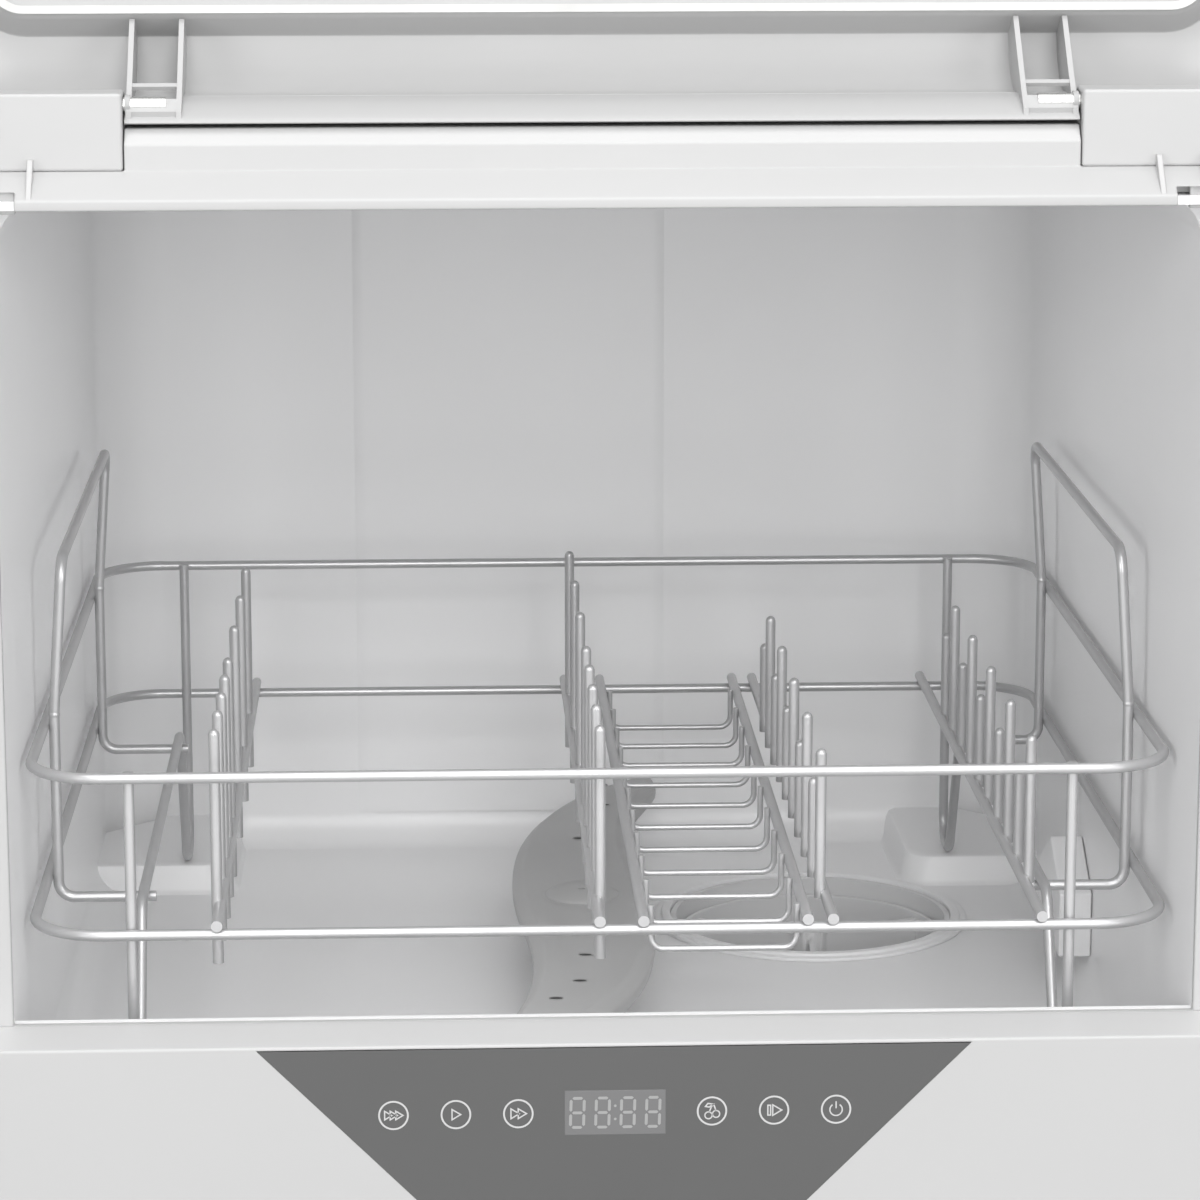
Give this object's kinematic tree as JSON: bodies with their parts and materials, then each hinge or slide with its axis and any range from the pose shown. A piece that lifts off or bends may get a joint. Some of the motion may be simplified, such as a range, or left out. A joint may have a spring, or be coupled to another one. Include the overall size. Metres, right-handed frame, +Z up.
{
  "type": "countertop dishwasher",
  "caption": "Compact front-loading countertop dishwasher with a top-hinged door shown open, a lift-out wire rack, a turning spray arm and a round filter cup.",
  "frame": {"origin": "on the surface the feet stand on, under the middle of the cabinet's footprint", "axes": "+X to the user's right, +Y to the back, +Z up; the front with the control panel faces -Y"},
  "size_m": [0.418, 0.438, 0.6879],
  "materials": {
    "panel_plastic": "smooth semi-matt injection moulded plastic",
    "tub_plastic": "smooth satin moulded plastic",
    "grey_panel": "smooth grey film",
    "display": "smoked display window",
    "arm_plastic": "moulded plastic",
    "rack_wire": "coated wire",
    "steel": "plain steel",
    "rubber": "moulded rubber",
    "pan_plastic": "moulded plastic",
    "felt": "pressed sound mat",
    "pump_plastic": "moulded plastic",
    "motor_metal": "painted housing",
    "board": "circuit board laminate"
  },
  "bodies": {
    "cabinet": {"side_panel_left": "panel_plastic", "side_panel_right": "panel_plastic", "rear_panel": "panel_plastic", "top_cover": "panel_plastic", "front_frame": "panel_plastic", "hinge_block_left": "panel_plastic", "hinge_block_right": "panel_plastic", "fascia": "panel_plastic", "tub": "tub_plastic", "filter_ring": "tub_plastic", "arm_post": "tub_plastic", "vent_hood": "tub_plastic", "control_panel": "grey_panel", "display_window": "display", "hinge_pins": "steel", "screws": "steel", "catch_plates": "steel", "sump": "steel", "heater": "steel", "feet": "rubber", "base_pan": "pan_plastic", "fan_housing": "pan_plastic", "power_inlet": "pan_plastic", "insulation": "felt", "wash_pump_housing": "pump_plastic", "drain_pump": "pump_plastic", "inlet_valve": "pump_plastic", "drain_hose": "pump_plastic", "inlet_hose": "pump_plastic", "drain_fitting": "pump_plastic", "inlet_fitting": "pump_plastic", "wash_pump_motor": "motor_metal", "control_board": "board", "power_board": "board"},
    "door": {"door_shell": "panel_plastic", "door_liner": "panel_plastic", "door_gasket": "rubber", "door_arms": "panel_plastic", "door_grip": "panel_plastic", "door_magnets": "steel"},
    "rack": {"rack_lower_ring": "rack_wire", "rack_upper_ring": "rack_wire", "rack_runner_left": "rack_wire", "rack_runner_right": "rack_wire", "rack_handle_left": "rack_wire", "rack_handle_right": "rack_wire", "plate_row_left": "rack_wire", "plate_row_middle": "rack_wire", "plate_row_inner": "rack_wire", "plate_row_outer": "rack_wire", "cutlery_tray": "rack_wire"},
    "arm": {"spray_arm": "arm_plastic", "arm_cap": "arm_plastic"},
    "filter": {"filter_cup": "arm_plastic"},
    "wash_rotor": {"wash_rotor": "motor_metal"},
    "drain_rotor": {"drain_rotor": "pump_plastic"},
    "fan_rotor": {"fan_rotor": "pan_plastic"}
  },
  "joints": [
    {"name": "door_hinge", "type": "hinge", "parent": "cabinet", "child": "door", "pos_m": [0, -0.178, 0.426], "axis": [1, 0, 0], "range_deg": [0, 185]},
    {"name": "rack_lift", "type": "slide", "parent": "cabinet", "child": "rack", "axis": [0, 0, 1], "range_m": [0, 0.1]},
    {"name": "arm_spin", "type": "hinge", "parent": "cabinet", "child": "arm", "pos_m": [0, -0.005, 0.14], "axis": [0, 0, 1], "continuous": true},
    {"name": "filter_lift", "type": "slide", "parent": "cabinet", "child": "filter", "axis": [0, 0, 1], "range_m": [0, 0.05]},
    {"name": "wash_rotor_spin", "type": "hinge", "parent": "cabinet", "child": "wash_rotor", "pos_m": [-0.04, 0.077, 0.072], "axis": [1, 0, 0], "continuous": true},
    {"name": "drain_rotor_spin", "type": "hinge", "parent": "cabinet", "child": "drain_rotor", "pos_m": [0.15, 0.077, 0.066], "axis": [1, 0, 0], "continuous": true},
    {"name": "fan_spin", "type": "hinge", "parent": "cabinet", "child": "fan_rotor", "pos_m": [0.187, 0.015, 0.184], "axis": [1, 0, 0], "continuous": true}
  ]
}
